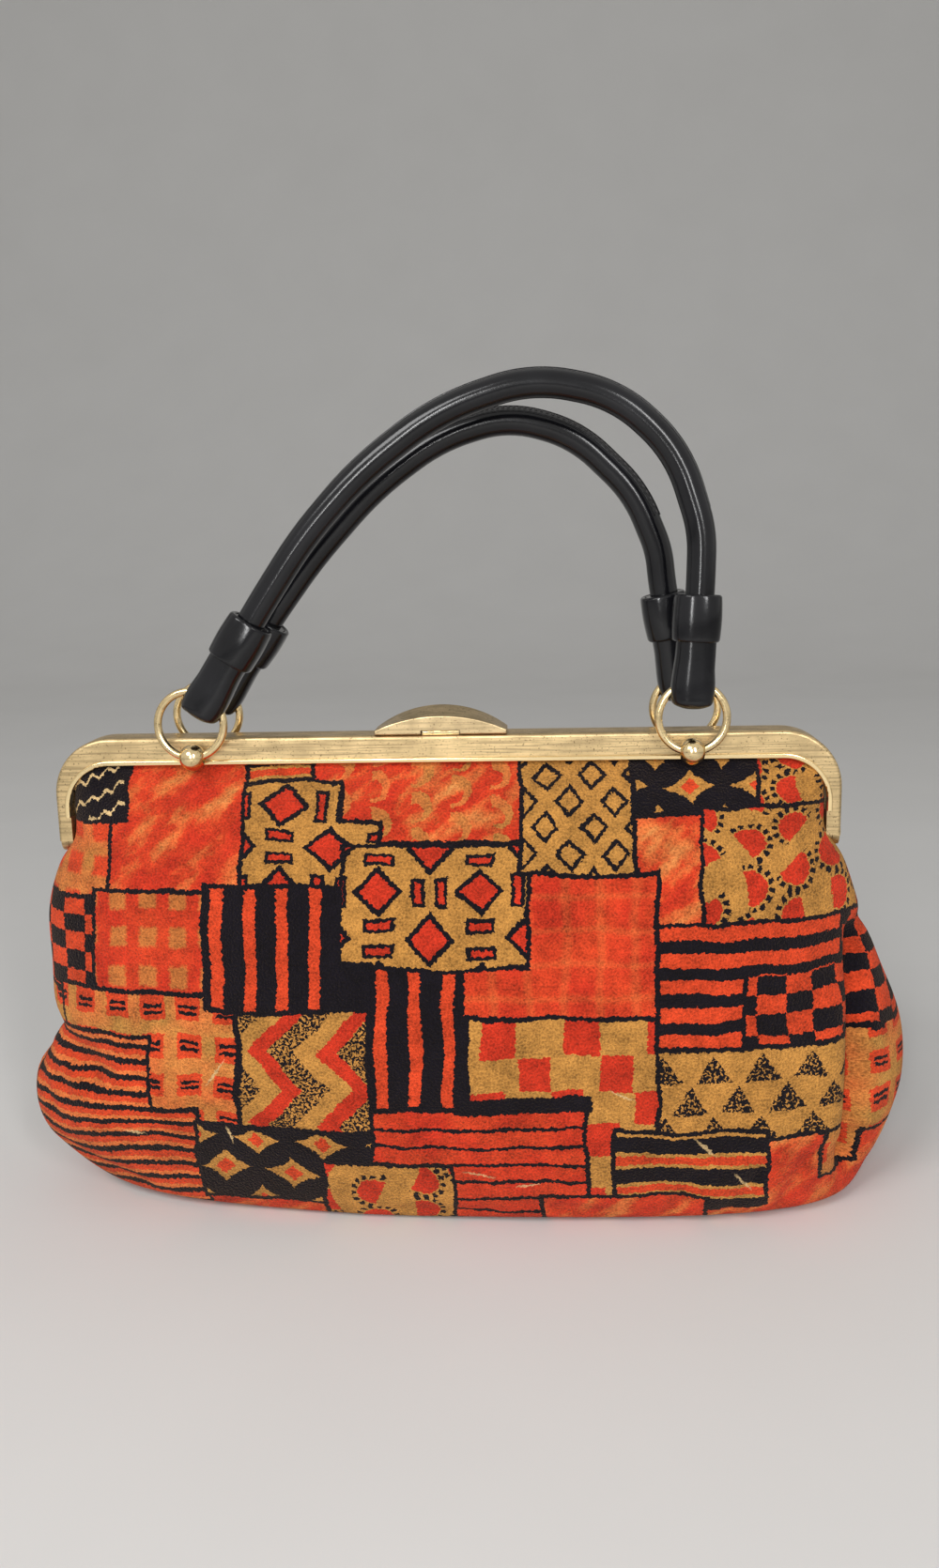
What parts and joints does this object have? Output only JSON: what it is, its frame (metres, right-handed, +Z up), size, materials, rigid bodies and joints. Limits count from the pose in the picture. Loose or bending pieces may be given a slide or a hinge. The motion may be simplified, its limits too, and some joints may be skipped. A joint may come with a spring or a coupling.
{
  "type": "carpet bag",
  "caption": "Soft carpet-cloth handbag on a hinged gilt frame with a lift clasp, ball lugs, rings and rolled leather handles.",
  "frame": {"origin": "middle of the bag's base, on the surface that it stands on", "axes": "+X along the bag to the viewer's right, +Y to its back, +Z up"},
  "size_m": [0.344, 0.1, 0.3131],
  "materials": {
    "gilt": "brushed gilt",
    "handle_leather": "polished black",
    "carpet_cloth": "cut pile in patches of colour",
    "lining_cloth": "plain weave",
    "board": "plain"
  },
  "bodies": {
    "bag": {"back_frame": "gilt", "hinge_pins": "gilt", "clasp_base": "gilt", "clasp_pin": "gilt", "back_lugs": "gilt", "upper_back_panel": "carpet_cloth", "lower_front_panel": "carpet_cloth", "lower_back_panel": "carpet_cloth", "left_gusset": "carpet_cloth", "right_gusset": "carpet_cloth", "base_panel": "carpet_cloth", "lining": "lining_cloth", "base_board": "board"},
    "front_half": {"front_frame": "gilt", "clasp_catch": "gilt", "front_lugs": "gilt", "upper_front_panel": "carpet_cloth"},
    "clasp": {"clasp_lever": "gilt"},
    "front_grip": {"front_handle": "handle_leather", "front_rings": "gilt", "front_keepers": "handle_leather"},
    "back_grip": {"back_handle": "handle_leather", "back_rings": "gilt", "back_keepers": "handle_leather"}
  },
  "joints": [
    {"name": "frame_open", "type": "hinge", "parent": "bag", "child": "front_half", "pos_m": [0, 0, 0.1415], "axis": [1, 0, 0], "range_deg": [0, 65]},
    {"name": "clasp_lift", "type": "hinge", "parent": "bag", "child": "clasp", "pos_m": [0, 0.005, 0.1838], "axis": [-1, 0, 0], "range_deg": [0, 50]},
    {"name": "front_handle_swing", "type": "hinge", "parent": "front_half", "child": "front_grip", "pos_m": [0, -0.0136, 0.1751], "axis": [1, 0, 0], "range_deg": [0, 90]},
    {"name": "back_handle_swing", "type": "hinge", "parent": "bag", "child": "back_grip", "pos_m": [0, 0.0136, 0.1751], "axis": [-1, 0, 0], "range_deg": [0, 130]}
  ]
}
